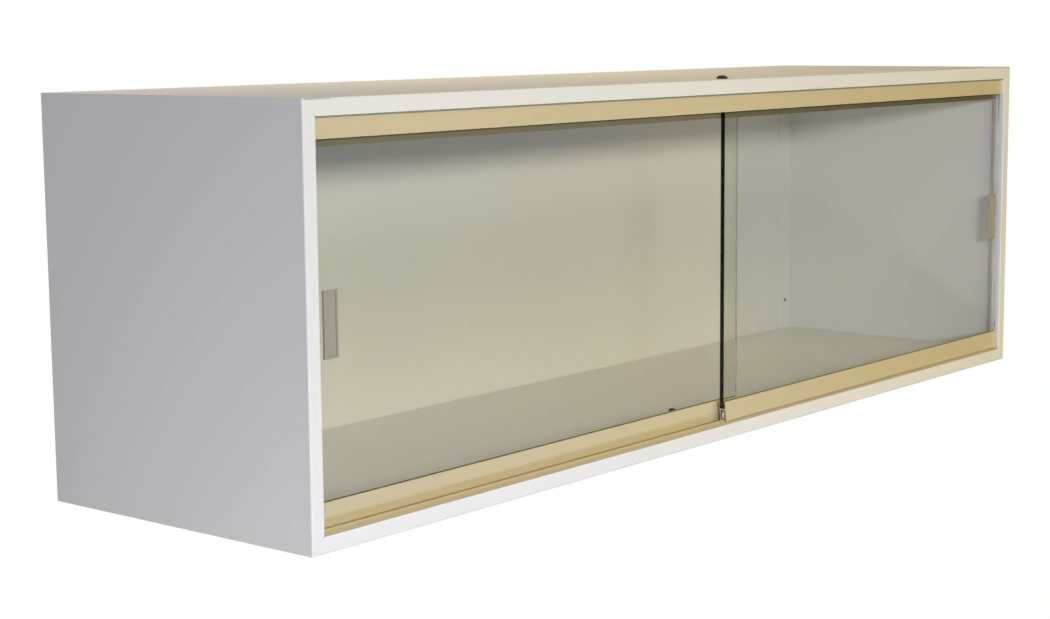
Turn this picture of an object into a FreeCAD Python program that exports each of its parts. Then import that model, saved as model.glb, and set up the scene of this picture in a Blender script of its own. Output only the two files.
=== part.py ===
"""Wall mounted showcase: a folded steel case with two by-passing glass doors.

The frame has +X to the right, +Y back towards the wall and +Z up. The origin lies on the
wall plane, in the middle of the row of wall-screw holes.
"""
import FreeCAD, Part
import math
import os

import Sketcher

Vector = FreeCAD.Vector
Rotation = FreeCAD.Rotation

DRIVING_SIZES = (
    # the case
    ("case_width", 1524.0),
    ("case_depth", 406.4),
    ("case_height", 457.2),
    ("hole_drop", 25.4),
    ("wall", 1.2),
    ("bend", 2.0),
    ("flange", 18.0),
    ("left_jamb_depth", 44.5),
    ("right_jamb_depth", 17.0),
    ("mitre_gap", 0.3),
    ("relief_length", 36.0),
    ("relief_height", 0.9),
    # the raised deck, the header and the rear corner posts
    ("deck_height", 17.3),
    ("header_height", 437.2),
    ("channel_inset", 6.0),
    ("header_depth", 30.0),
    ("back_recess", 6.8),
    ("post_leg", 34.0),
    ("rivet_inset", 13.7),
    ("rivet_low", 65.0),
    ("rivet_high", 415.0),
    ("rivet_head_radius", 3.6),
    ("rivet_head_height", 1.0),
    ("rivet_radius", 2.2),
    ("rivet_bore", 1.4),
    # the hanging rail and its wall screws
    ("rail_length", 1400.0),
    ("rail_height", 38.0),
    ("rail_wall", 1.6),
    ("outer_hole_spacing", 1219.2),
    ("inner_hole_spacing", 406.4),
    ("screw_hole_radius", 4.2),
    # the door tracks
    ("track_inset", 4.0),
    ("front_glass_inset", 10.2),
    ("track_pitch", 14.3),
    ("track_wall", 1.4),
    ("upper_front_leg", 21.0),
    ("upper_rear_leg", 29.2),
    ("lip_height", 2.8),
    ("rail_rise", 5.2),
    ("rail_width", 2.0),
    # the doors
    ("door_width", 760.0),
    ("glass_thickness", 6.0),
    ("glass_foot", 37.5),
    ("glass_top", 428.0),
    ("glass_arris", 0.4),
    ("right_door_gap", 1.5),
    ("left_door_gap", 13.5),
    ("shoe_width", 10.0),
    ("shoe_wall", 1.5),
    ("shoe_foot", 20.9),
    ("shoe_top", 46.3),
    ("shoe_setback", 1.5),
    ("shoe_lean", 3.5),
    ("strip_wall", 0.5),
    # the finger pulls
    ("pull_width", 20.0),
    ("pull_height", 70.0),
    ("pull_depth", 2.6),
    ("pull_rim", 2.2),
    ("pull_floor", 0.8),
    ("pull_inset", 10.0),
    ("pull_level", 228.0),
    ("tape_thickness", 0.6),
    # the rollers
    ("wheel_radius", 6.2),
    ("tread_radius", 5.3),
    ("wheel_width", 3.8),
    ("rolling_gap", 0.3),
    ("axle_radius", 1.5),
    ("axle_clearance", 0.06),
    ("axle_length", 6.8),
    ("bracket_wall", 0.8),
    ("bracket_length", 15.0),
    ("roller_inset", 10.5),
    # the plugs, screws and pads
    ("cap_radius", 7.0),
    ("cap_height", 4.5),
    ("cap_shift", -5.0),
    ("cap_inset", 20.0),
    ("plug_radius", 5.0),
    ("plug_height", 3.0),
    ("plug_shift", 20.0),
    ("plug_inset", 117.0),
    ("screw_radius", 1.5),
    ("screw_head_radius", 2.8),
    ("screw_head_height", 1.2),
    ("pad_height", 12.0),
    ("pad_thickness", 1.2),
    ("pad_level", 52.0),
)


class Size:
    """A length that knows both its value and the sheet expression that drives it."""

    def __init__(self, value, text):
        self.value = value
        self.text = text

    def __add__(self, other):
        other = as_size(other)
        return Size(self.value + other.value, f"({self.text} + {other.text})")

    def __sub__(self, other):
        other = as_size(other)
        return Size(self.value - other.value, f"({self.text} - {other.text})")

    def __mul__(self, other):
        other = as_size(other)
        return Size(self.value * other.value, f"({self.text} * {other.text})")

    def __truediv__(self, other):
        other = as_size(other)
        return Size(self.value / other.value, f"({self.text} / {other.text})")

    def __neg__(self):
        return Size(-self.value, f"(0 - {self.text})")

    __radd__ = __add__
    __rmul__ = __mul__


def as_size(number):
    """A plain number as a Size, and a Size as it is."""
    if isinstance(number, Size):
        return number
    return Size(float(number), str(number))


def make_sheet(doc):
    """Fill the spreadsheet and return its cells as named Sizes."""
    sheet = doc.addObject("Spreadsheet::Sheet", "dims")
    sizes = {}
    for row, (alias, number) in enumerate(DRIVING_SIZES, start=1):
        sheet.set(f"A{row}", alias)
        sheet.set(f"B{row}", str(number))
        sheet.setAlias(f"B{row}", alias)
        sizes[alias] = Size(number, f"dims.{alias}")
    doc.recompute()
    return sizes


def drive(thing, prop, size):
    """Bind one property to its sheet expression."""
    size = as_size(size)
    thing.setExpression(prop, size.text)


def place(thing, x=0, y=0, z=0):
    """Bind an object's position to sheet expressions."""
    for axis, size in zip("xyz", (x, y, z)):
        if isinstance(size, Size):
            drive(thing, f"Placement.Base.{axis}", size)


# Sketches and bodies


def new_body(doc, label):
    body = doc.addObject("PartDesign::Body", label)
    body.Label = label
    return body


def new_sketch(body, name, role, offset=None):
    """A sketch on one of the body's own origin planes, moved along the plane's normal."""
    sketch = body.newObject("Sketcher::SketchObject", f"{body.Name}_{name}")
    plane = [item for item in body.Origin.OriginFeatures if item.Role == role][0]
    sketch.AttachmentSupport = [(plane, "")]
    sketch.MapMode = "FlatFace"
    if offset is not None:
        drive(sketch, "AttachmentOffset.Base.z", offset)
    return sketch


def fix_point(sketch, geometry, end, point):
    """Hold one end of a sketch element at driven distances from the sketch's origin."""
    for kind, size in zip(("DistanceX", "DistanceY"), point):
        size = as_size(size)
        index = sketch.addConstraint(Sketcher.Constraint(kind, -1, 1, geometry, end, size.value))
        if "dims" in size.text:
            drive(sketch, f"Constraints[{index}]", size)


def fix_radius(sketch, geometry, radius):
    index = sketch.addConstraint(Sketcher.Constraint("Radius", geometry, radius.value))
    drive(sketch, f"Constraints[{index}]", radius)


def step_towards(corner, target, distance):
    """The driven point at a distance from a corner, along an edge that follows an axis."""
    moved = []
    for here, there in zip(corner, target):
        here = as_size(here)
        gap = as_size(there).value - here.value
        if abs(gap) < 1e-6:
            moved.append(here)
        elif gap > 0:
            moved.append(here + distance)
        else:
            moved.append(here - distance)
    return tuple(moved)


def flat(point):
    return Vector(as_size(point[0]).value, as_size(point[1]).value, 0)


def outline(sketch, corners):
    """Draw a closed outline. A corner is (a, b), or (a, b, radius) where it is rounded."""
    stops = []
    count = len(corners)
    for index, corner in enumerate(corners):
        if len(corner) == 2:
            stops.append((corner, None))
            continue
        radius = corner[2]
        before = step_towards(corner[:2], corners[index - 1][:2], radius)
        after = step_towards(corner[:2], corners[(index + 1) % count][:2], radius)
        stops.append((before, (flat(corner), radius)))
        stops.append((after, None))
    pieces = []
    for index, (point, bend) in enumerate(stops):
        following = stops[(index + 1) % len(stops)][0]
        if bend is None:
            geometry = sketch.addGeometry(Part.LineSegment(flat(point), flat(following)))
            pieces.append((geometry, 1, 2, point))
        else:
            geometry, start, end = draw_arc(sketch, flat(point), flat(following), *bend)
            pieces.append((geometry, start, end, point))
            fix_radius(sketch, geometry, bend[1])
    for index, (geometry, start, end, point) in enumerate(pieces):
        following = pieces[(index + 1) % len(pieces)]
        sketch.addConstraint(Sketcher.Constraint("Coincident", geometry, end, following[0], following[1]))
        fix_point(sketch, geometry, start, point)


def draw_arc(sketch, first, second, corner, radius):
    """A quarter turn inside a corner, with the ends of the arc in the outline's order."""
    centre = first + second - corner
    turn = (corner - first).cross(second - corner).z
    from_first = math.atan2(first.y - centre.y, first.x - centre.x)
    from_second = math.atan2(second.y - centre.y, second.x - centre.x)
    circle = Part.Circle(centre, Vector(0, 0, 1), radius.value)
    if turn > 0:
        return sketch.addGeometry(Part.ArcOfCircle(circle, from_first, from_second)), 1, 2
    return sketch.addGeometry(Part.ArcOfCircle(circle, from_second, from_first)), 2, 1


def circles(sketch, centres, radius):
    for centre in centres:
        circle = Part.Circle(flat(centre), Vector(0, 0, 1), radius.value)
        geometry = sketch.addGeometry(circle)
        fix_point(sketch, geometry, 3, centre)
        fix_radius(sketch, geometry, radius)


def pad_along_x(body, corners, length):
    """Extrude a section drawn in Y and Z, half to each side of the body's origin."""
    sketch = new_sketch(body, "section", "YZ_Plane")
    outline(sketch, corners)
    pad = body.newObject("PartDesign::Pad", f"{body.Name}_pad")
    pad.Profile = sketch
    pad.Midplane = True
    drive(pad, "Length", length)
    return pad


def pad_along_z(body, corners, foot, length):
    """Extrude a plan drawn in X and Y upwards from a level."""
    sketch = new_sketch(body, "plan", "XY_Plane", foot)
    outline(sketch, corners)
    pad = body.newObject("PartDesign::Pad", f"{body.Name}_pad")
    pad.Profile = sketch
    drive(pad, "Length", length)
    return pad


def pocket(body, name, role, offset, draw, depth):
    """Cut what draw() puts in a sketch, to a depth behind the sketch's plane."""
    body.Document.recompute()
    before = body.Shape.Volume
    sketch = new_sketch(body, name, role, offset)
    draw(sketch)
    cut = body.newObject("PartDesign::Pocket", f"{body.Name}_{name}_cut")
    cut.Profile = sketch
    drive(cut, "Length", depth)
    body.Document.recompute()
    if not body.Shape.Volume < before:
        raise RuntimeError(f"{body.Label}: the pocket {name} removes nothing")
    return cut


def box(doc, name, length, width, height, x, y, z):
    """A block whose sizes and position are driven by the sheet."""
    block = doc.addObject("Part::Box", name)
    for prop, size in zip(("Length", "Width", "Height"), (length, width, height)):
        drive(block, prop, size)
    place(block, x, y, z)
    return block


def cylinder(doc, name, radius, height, x, y, z, turn=None):
    """A round bar whose sizes and position are driven by the sheet."""
    bar = doc.addObject("Part::Cylinder", name)
    if turn is not None:
        bar.Placement = FreeCAD.Placement(Vector(0, 0, 0), turn)
    drive(bar, "Radius", radius)
    drive(bar, "Height", height)
    place(bar, x, y, z)
    return bar


def group(doc, label, links):
    """Several separate solids of one kind in one node."""
    compound = doc.addObject("Part::Compound", label)
    compound.Label = label
    compound.Links = links
    return compound


class Case:
    """The levels and planes that the sub-parts share, all driven by the sheet."""

    def __init__(self, sizes):
        for alias, size in sizes.items():
            setattr(self, alias, size)
        self.half_width = self.case_width / 2
        self.front = -self.case_depth
        self.top = self.hole_drop
        self.bottom = self.hole_drop - self.case_height
        self.jamb_face = self.half_width - self.flange
        self.deck_top = self.bottom + self.deck_height
        self.header_foot = self.bottom + self.header_height
        self.back_face = -self.back_recess
        self.post_face = self.back_face - self.wall
        self.front_glass = self.front + self.front_glass_inset
        self.rear_glass = self.front_glass + self.track_pitch
        self.track_middle = self.front_glass + self.track_pitch / 2
        self.track_front = self.front + self.track_inset
        self.track_back = self.rear_glass + self.track_middle - self.track_front - self.track_pitch / 2
        self.rail_top = self.deck_top + self.rail_rise
        self.axle_level = self.rail_top + self.rolling_gap + self.tread_radius
        self.inner_bend = self.bend - self.wall

    def jamb_depth(self, side):
        """How far back the jamb runs; side is -1 for the left and 1 for the right."""
        return self.left_jamb_depth if side < 0 else self.right_jamb_depth


# The case


def mitre_corner(case, side, level, up):
    """A point on the 45 degree mitre line of the front frame.

    side is -1 or 1 for the left or right corner, level is the distance in from the case's
    outer side, and up is -1 or 1 for the bottom or top corner.
    """
    across = (case.half_width - level) * side
    if up > 0:
        return across, case.top - level
    return across, case.bottom + level


def cut_flat_panel_mitres(case, body, up):
    """Trim both ends of the top or bottom panel's flange along the mitre lines."""
    edge = case.flange + case.bend

    def draw(sketch):
        for side in (-1, 1):
            outer = mitre_corner(case, side, case.wall - case.mitre_gap, up)
            inner = mitre_corner(case, side, edge, up)
            shifted_inner = (inner[0] - case.mitre_gap * side, inner[1])
            outline(sketch, (outer, shifted_inner, (outer[0], inner[1])))

    pocket(body, "mitre", "XZ_Plane", -case.front, draw, case.bend)


def cut_side_panel_mitres(case, body, side):
    """Trim both ends of a side panel's flange and jamb return along the mitre lines."""
    edge = case.flange + case.bend

    def draw(sketch):
        for up in (-1, 1):
            outer = mitre_corner(case, side, case.wall, up)
            inner = mitre_corner(case, side, edge, up)
            beyond = case.top + case.bend if up > 0 else case.bottom - case.bend
            outline(sketch, (outer, inner, (inner[0], beyond), (outer[0], beyond)))

    pocket(body, "mitre", "XZ_Plane", -case.front, draw, case.left_jamb_depth + case.bend)


def top_panel(doc, case):
    """The top: a sheet folded down 18 mm along the front."""
    body = new_body(doc, "top_panel")
    under = case.top - case.wall
    lip = case.top - case.flange
    behind = case.front + case.wall
    pad_along_x(
        body,
        (
            (case.front, case.top, case.bend),
            (case.front, lip),
            (behind, lip),
            (behind, under, case.inner_bend),
            (0, under),
            (0, case.top),
        ),
        case.case_width - case.wall * 2,
    )
    cut_flat_panel_mitres(case, body, 1)

    def reliefs(sketch):
        for side in (-1, 1):
            start = (case.half_width - case.bend) * side
            end = start - case.relief_length * side
            foot = under - case.relief_height / 2
            head = foot + case.relief_height
            outline(sketch, ((start, foot), (end, foot), (end, head), (start, head)))

    pocket(body, "relief", "XZ_Plane", -case.front, reliefs, case.wall + case.mitre_gap)

    def cap_hole(sketch):
        circles(sketch, ((case.cap_shift, case.front + case.cap_inset),), case.cap_radius - case.wall)

    pocket(body, "cap_hole", "XY_Plane", case.top, cap_hole, case.wall * 2)


def bottom_panel(doc, case):
    """The bottom: a sheet folded up 18 mm along the front."""
    body = new_body(doc, "bottom_panel")
    over = case.bottom + case.wall
    lip = case.bottom + case.flange
    behind = case.front + case.wall
    pad_along_x(
        body,
        (
            (case.front, case.bottom, case.bend),
            (0, case.bottom),
            (0, over),
            (behind, over, case.inner_bend),
            (behind, lip),
            (case.front, lip),
        ),
        case.case_width - case.wall * 2,
    )
    cut_flat_panel_mitres(case, body, -1)


def side_panel(doc, case, name, side):
    """A side: a sheet folded in along the front, then back again as the door jamb."""
    body = new_body(doc, f"{name}_side_panel")
    outer = case.half_width * side
    inner = outer - case.wall * side
    jamb = case.jamb_face * side
    jamb_back = jamb + case.wall * side
    behind = case.front + case.wall
    jamb_end = case.front + case.jamb_depth(side)
    pad_along_z(
        body,
        (
            (outer, 0),
            (outer, case.front, case.bend),
            (jamb, case.front, case.bend),
            (jamb, jamb_end),
            (jamb_back, jamb_end),
            (jamb_back, behind, case.inner_bend),
            (inner, behind, case.inner_bend),
            (inner, 0),
        ),
        case.bottom,
        case.case_height,
    )
    cut_side_panel_mitres(case, body, side)


def screw_line(case):
    """The X positions of the track screws, evenly spaced along the tracks."""
    count = 5
    spacing = case.case_width / count
    return [spacing * (index - (count - 1) / 2) for index in range(count)]


def wall_holes(case):
    """The centres of the four wall-screw holes, in X and Z."""
    halves = (case.outer_hole_spacing / 2, case.inner_hole_spacing / 2)
    return [(half * side, 0) for half in halves for side in (-1, 1)]


def back_panel(doc, case):
    """The back: a flat sheet against the corner posts, pierced for the wall screws."""
    body = new_body(doc, "back_panel")
    half_height = case.case_height - case.wall
    pad_along_x(
        body,
        (
            (case.post_face + case.wall, case.bottom + case.wall),
            (case.back_face + case.wall, case.bottom + case.wall),
            (case.back_face + case.wall, case.bottom + half_height),
            (case.post_face + case.wall, case.bottom + half_height),
        ),
        case.case_width - case.wall * 4 - case.mitre_gap,
    )

    def holes(sketch):
        circles(sketch, wall_holes(case), case.screw_hole_radius)

    pocket(body, "wall_holes", "XZ_Plane", -case.post_face, holes, case.wall * 4)

    def rivet_holes(sketch):
        circles(sketch, rivet_places(case, -1) + rivet_places(case, 1), case.rivet_radius)

    pocket(body, "rivet_holes", "XZ_Plane", -case.post_face, rivet_holes, case.wall * 4)


def corner_post(doc, case, name, side):
    """A rear corner angle: a wide leg facing the doors and a short one along the side."""
    body = new_body(doc, f"{name}_corner_post")
    skin = (case.half_width - case.wall) * side
    inside = skin - case.wall * side
    edge = skin - case.post_leg * side
    behind = case.post_face + case.wall
    pad_along_z(
        body,
        (
            (skin, case.post_face),
            (skin, 0),
            (inside, 0),
            (inside, behind),
            (edge, behind),
            (edge, case.post_face),
        ),
        case.bottom + case.wall,
        case.case_height - case.wall * 2,
    )

    def rivet_holes(sketch):
        circles(sketch, rivet_places(case, side), case.rivet_radius)

    pocket(body, "rivet_holes", "XZ_Plane", -case.post_face, rivet_holes, case.wall * 2)


def rivet_places(case, side):
    """The X and Z positions of the rivets that hold the back panel to one post."""
    across = (case.half_width - case.rivet_inset) * side
    return [(across, case.bottom + level) for level in (case.rivet_low, case.rivet_high)]


def rivet(doc, case, name, x, z):
    """A blind rivet: a flat head, a body through both sheets and an open bore."""
    turn = Rotation(Vector(1, 0, 0), -90)
    face = case.post_face
    height = case.rivet_head_height
    grip = case.wall * 2
    head = cylinder(doc, f"{name}_head", case.rivet_head_radius, height, x, face - height, z, turn)
    shank = cylinder(doc, f"{name}_shank", case.rivet_radius, grip, x, face, z, turn)
    bore = cylinder(doc, f"{name}_bore", case.rivet_bore, height + case.wall, x, face - height, z, turn)
    solid = doc.addObject("Part::Fuse", f"{name}_solid")
    solid.Base = head
    solid.Tool = shank
    bored = doc.addObject("Part::Cut", name)
    bored.Base = solid
    bored.Tool = bore
    return bored


def post_rivets(doc, case):
    """The rivets through both posts and the back panel."""
    rivets = []
    for name, side in (("left", -1), ("right", 1)):
        for place_name, (x, z) in zip(("low", "high"), rivet_places(case, side)):
            rivets.append(rivet(doc, case, f"{name}_{place_name}_rivet", x, z))
    group(doc, "post_rivets", rivets)


def deck_panel(doc, case):
    """The raised floor: a sheet folded down along its front and rear, notched at the jambs."""
    body = new_body(doc, "deck_panel")
    start = case.front + case.channel_inset
    end = case.post_face - case.mitre_gap
    foot = case.bottom + case.wall
    under = case.deck_top - case.wall
    pad_along_x(
        body,
        (
            (start, foot),
            (start, case.deck_top, case.bend),
            (end, case.deck_top, case.bend),
            (end, foot),
            (end - case.wall, foot),
            (end - case.wall, under, case.inner_bend),
            (start + case.wall, under, case.inner_bend),
            (start + case.wall, foot),
        ),
        case.case_width - case.wall * 2 - case.mitre_gap,
    )

    def notches(sketch):
        for side in (-1, 1):
            inner = (case.jamb_face - case.mitre_gap) * side
            outer = case.half_width * side
            back = case.front + case.jamb_depth(side) + case.mitre_gap
            outline(sketch, ((inner, case.front), (outer, case.front), (outer, back), (inner, back)))

    pocket(body, "notches", "XY_Plane", case.deck_top, notches, case.deck_height)

    def plug_hole(sketch):
        circles(sketch, ((case.plug_shift, case.front + case.plug_inset),), case.plug_radius - case.wall)

    pocket(body, "plug_hole", "XY_Plane", case.deck_top, plug_hole, case.wall * 2)

    def screw_holes(sketch):
        centres = [(x, case.track_middle) for x in screw_line(case)]
        circles(sketch, centres, case.screw_radius)

    pocket(body, "screw_holes", "XY_Plane", case.deck_top, screw_holes, case.wall * 2)


def header_channel(doc, case):
    """The channel between the jambs, behind the top flange, that carries the upper track."""
    body = new_body(doc, "header_channel")
    start = case.front + case.channel_inset
    end = start + case.header_depth
    head = case.top - case.wall
    over = case.header_foot + case.wall
    pad_along_x(
        body,
        (
            (start, head),
            (start, case.header_foot, case.bend),
            (end, case.header_foot, case.bend),
            (end, head),
            (end - case.wall, head),
            (end - case.wall, over, case.inner_bend),
            (start + case.wall, over, case.inner_bend),
            (start + case.wall, head),
        ),
        (case.jamb_face - case.mitre_gap) * 2,
    )

    def screw_holes(sketch):
        centres = [(x, case.front_glass) for x in screw_line(case)]
        circles(sketch, centres, case.screw_radius)

    pocket(body, "screw_holes", "XY_Plane", over, screw_holes, case.wall * 2)


def hanging_rail(doc, case):
    """The wall rail behind the back panel, with its web on the wall plane."""
    body = new_body(doc, "hanging_rail")
    half = case.rail_height / 2
    near = case.back_face + case.wall
    pad_along_x(
        body,
        (
            (0, -half, case.bend),
            (0, half, case.bend),
            (near, half),
            (near, half - case.rail_wall),
            (-case.rail_wall, half - case.rail_wall),
            (-case.rail_wall, case.rail_wall - half),
            (near, case.rail_wall - half),
            (near, -half),
        ),
        case.rail_length,
    )

    def holes(sketch):
        circles(sketch, wall_holes(case), case.screw_hole_radius)

    pocket(body, "wall_holes", "XZ_Plane", case.rail_wall * 2, holes, case.rail_wall * 3)


# The door tracks


def upper_track(doc, case):
    """An E-section whose legs hang down as a fascia and two guides."""
    body = new_body(doc, "upper_track")
    head = case.header_foot
    under = head - case.track_wall
    fascia_foot = head - case.upper_front_leg
    guide_foot = head - case.upper_rear_leg
    front = case.track_front
    middle = case.track_middle
    rear = case.track_back
    pad_along_x(
        body,
        (
            (front, head, case.mitre_gap),
            (front, fascia_foot, case.mitre_gap),
            (front + case.track_wall, fascia_foot),
            (front + case.track_wall, under),
            (middle - case.track_wall / 2, under),
            (middle - case.track_wall / 2, guide_foot),
            (middle + case.track_wall / 2, guide_foot),
            (middle + case.track_wall / 2, under),
            (rear - case.track_wall, under),
            (rear - case.track_wall, guide_foot),
            (rear, guide_foot),
            (rear, head),
        ),
        (case.jamb_face - case.mitre_gap) * 2,
    )

    def screw_holes(sketch):
        centres = [(x, case.front_glass) for x in screw_line(case)]
        circles(sketch, centres, case.screw_radius)

    pocket(body, "screw_holes", "XY_Plane", head, screw_holes, case.track_wall * 2)


def rail_corners(case, middle, base):
    """The rounded rail that a door's wheels run on, in the order of the track's outline."""
    half = case.rail_width / 2
    rounding = case.rail_width / 4
    return (
        (middle + half, base),
        (middle + half, case.rail_top, rounding),
        (middle - half, case.rail_top, rounding),
        (middle - half, base),
    )


def lower_track(doc, case):
    """A low section with a lip at each edge and a rail for each door."""
    body = new_body(doc, "lower_track")
    front = case.track_front + case.mitre_gap
    rear = case.track_back - case.mitre_gap
    base = case.deck_top + case.wall
    lip = case.deck_top + case.lip_height
    corners = (
        (front, case.deck_top),
        (rear, case.deck_top),
        (rear, lip, case.mitre_gap),
        (rear - case.wall, lip, case.mitre_gap),
        (rear - case.wall, base),
        *rail_corners(case, case.rear_glass, base),
        *rail_corners(case, case.front_glass, base),
        (front + case.wall, base),
        (front + case.wall, lip, case.mitre_gap),
        (front, lip, case.mitre_gap),
    )
    pad_along_x(body, corners, (case.jamb_face - case.mitre_gap) * 2)

    def screw_holes(sketch):
        centres = [(x, case.track_middle) for x in screw_line(case)]
        circles(sketch, centres, case.screw_radius)

    pocket(body, "screw_holes", "XY_Plane", base, screw_holes, case.wall * 2)


def track_screws(doc, case, label, y, head_foot, shank_foot, shank_length):
    """One screw in each hole of a track: a flat head and a shank."""
    screws = []
    for index, x in enumerate(screw_line(case)):
        head = cylinder(
            doc, f"{label}_head_{index}", case.screw_head_radius, case.screw_head_height, x, y, head_foot
        )
        shank = cylinder(doc, f"{label}_shank_{index}", case.screw_radius, shank_length, x, y, shank_foot)
        screw = doc.addObject("Part::Fuse", f"{label}_{index}")
        screw.Base = head
        screw.Tool = shank
        screws.append(screw)
    group(doc, label, screws)


def both_track_screws(doc, case):
    """The screws that hold the upper track to the header and the lower track to the deck."""
    length = case.track_wall + case.wall * 3
    under = case.header_foot - case.track_wall
    track_screws(
        doc, case, "upper_track_screws", case.front_glass, under - case.screw_head_height, under, length
    )
    over = case.deck_top + case.wall
    track_screws(doc, case, "lower_track_screws", case.track_middle, over, over - length, length)


def door_bumpers(doc, case):
    """Pads on the jambs where the doors stop: two on the left and one on the right."""
    left = -case.jamb_face
    right = case.jamb_face - case.pad_thickness
    places = (
        ("front_left_pad", left, case.front_glass),
        ("rear_left_pad", left, case.rear_glass),
        ("front_right_pad", right, case.front_glass),
    )
    pads = []
    for name, x, middle in places:
        y = middle - case.glass_thickness / 2
        z = case.bottom + case.pad_level
        pads.append(box(doc, name, case.pad_thickness, case.glass_thickness, case.pad_height, x, y, z))
    group(doc, "door_bumpers", pads)


def domed_plug(doc, label, radius, height, shank_radius, shank_length, x, y, z):
    """A round plug with a domed head and a shank that fills its hole."""
    body = new_body(doc, label)
    sketch = new_sketch(body, "section", "XZ_Plane")
    rise = height.value
    half = radius.value
    shank = as_size(shank_radius)
    drop = -as_size(shank_length)
    axis = sketch.addGeometry(Part.LineSegment(Vector(0, rise, 0), Vector(0, drop.value, 0)))
    foot = sketch.addGeometry(Part.LineSegment(Vector(0, drop.value, 0), Vector(shank.value, drop.value, 0)))
    side = sketch.addGeometry(Part.LineSegment(Vector(shank.value, drop.value, 0), Vector(shank.value, 0, 0)))
    under = sketch.addGeometry(Part.LineSegment(Vector(shank.value, 0, 0), Vector(half, 0, 0)))
    ball = (half * half + rise * rise) / (2 * rise)
    circle = Part.Circle(Vector(0, rise - ball, 0), Vector(0, 0, 1), ball)
    start = math.atan2(ball - rise, half)
    dome = sketch.addGeometry(Part.ArcOfCircle(circle, start, math.pi / 2))
    chain = ((axis, 2, foot, 1), (foot, 2, side, 1), (side, 2, under, 1), (under, 2, dome, 1), (dome, 2, axis, 1))
    for first, end, second, beginning in chain:
        sketch.addConstraint(Sketcher.Constraint("Coincident", first, end, second, beginning))
    fix_point(sketch, axis, 1, (0, height))
    fix_point(sketch, foot, 1, (0, drop))
    fix_point(sketch, side, 1, (shank, drop))
    fix_point(sketch, under, 1, (shank, 0))
    fix_point(sketch, dome, 1, (radius, 0))
    sketch.addConstraint(Sketcher.Constraint("PointOnObject", dome, 3, -2))
    spin = body.newObject("PartDesign::Revolution", f"{body.Name}_spin")
    spin.Profile = sketch
    spin.ReferenceAxis = (sketch, ["V_Axis"])
    spin.Angle = 360
    place(body, x, y, z)


def plugs(doc, case):
    """The black plugs that close the wiring holes in the top and in the deck."""
    domed_plug(
        doc,
        "top_cap",
        case.cap_radius,
        case.cap_height,
        case.cap_radius - case.wall,
        case.wall * 2,
        case.cap_shift,
        case.front + case.cap_inset,
        case.top,
    )
    domed_plug(
        doc,
        "deck_plug",
        case.plug_radius,
        case.plug_height,
        case.plug_radius - case.wall,
        case.wall * 2,
        case.plug_shift,
        case.front + case.plug_inset,
        case.deck_top,
    )


# The doors


def glass(doc, case, name, middle_x, middle_y):
    """A plate of glass with its edges arrissed."""
    body = new_body(doc, f"{name}_glass")
    half = case.glass_thickness / 2
    foot = case.bottom + case.glass_foot
    head = case.bottom + case.glass_top
    pad = pad_along_x(body, ((-half, foot), (half, foot), (half, head), (-half, head)), case.door_width)
    doc.recompute()
    chamfer = body.newObject("PartDesign::Chamfer", f"{name}_glass_arris")
    names = [f"Edge{number + 1}" for number in range(len(pad.Shape.Edges))]
    chamfer.Base = (pad, names)
    drive(chamfer, "Size", case.glass_arris)
    place(body, middle_x, middle_y)


def shoe(doc, case, name, middle_x, middle_y, lean):
    """The H-section under the glass: glazing groove above, roller cavity below.

    Where lean is true its left end is cut back slightly towards the bottom.
    """
    body = new_body(doc, f"{name}_shoe")
    outer = case.shoe_width / 2
    inner = outer - case.shoe_wall
    head = case.bottom + case.shoe_top
    foot = case.bottom + case.shoe_foot
    floor = case.bottom + case.glass_foot - case.strip_wall
    ceiling = floor - case.track_wall
    pad_along_x(
        body,
        (
            (-outer, foot),
            (-inner, foot),
            (-inner, ceiling),
            (inner, ceiling),
            (inner, foot),
            (outer, foot),
            (outer, head, case.strip_wall),
            (inner, head),
            (inner, floor),
            (-inner, floor),
            (-inner, head),
            (-outer, head, case.strip_wall),
        ),
        case.door_width - case.shoe_setback * 2,
    )
    if lean:
        end = case.shoe_setback - case.door_width / 2

        def slant(sketch):
            outline(sketch, ((end, head), (end, foot), (end + case.shoe_lean, foot)))

        pocket(body, "lean", "XZ_Plane", outer, slant, case.shoe_width)
    place(body, middle_x, middle_y)


def glazing_strip(doc, case, name, middle_x, middle_y):
    """The vinyl lining that grips the glass in the shoe."""
    body = new_body(doc, f"{name}_glazing_strip")
    outer = case.shoe_width / 2 - case.shoe_wall
    inner = case.glass_thickness / 2
    floor = case.bottom + case.glass_foot
    foot = floor - case.strip_wall
    head = case.bottom + case.shoe_top - case.mitre_gap
    pad_along_x(
        body,
        (
            (-outer, foot),
            (outer, foot),
            (outer, head),
            (inner, head),
            (inner, floor),
            (-inner, floor),
            (-inner, head),
            (-outer, head),
        ),
        case.door_width - case.shoe_setback * 2,
    )
    place(body, middle_x, middle_y)


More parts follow.
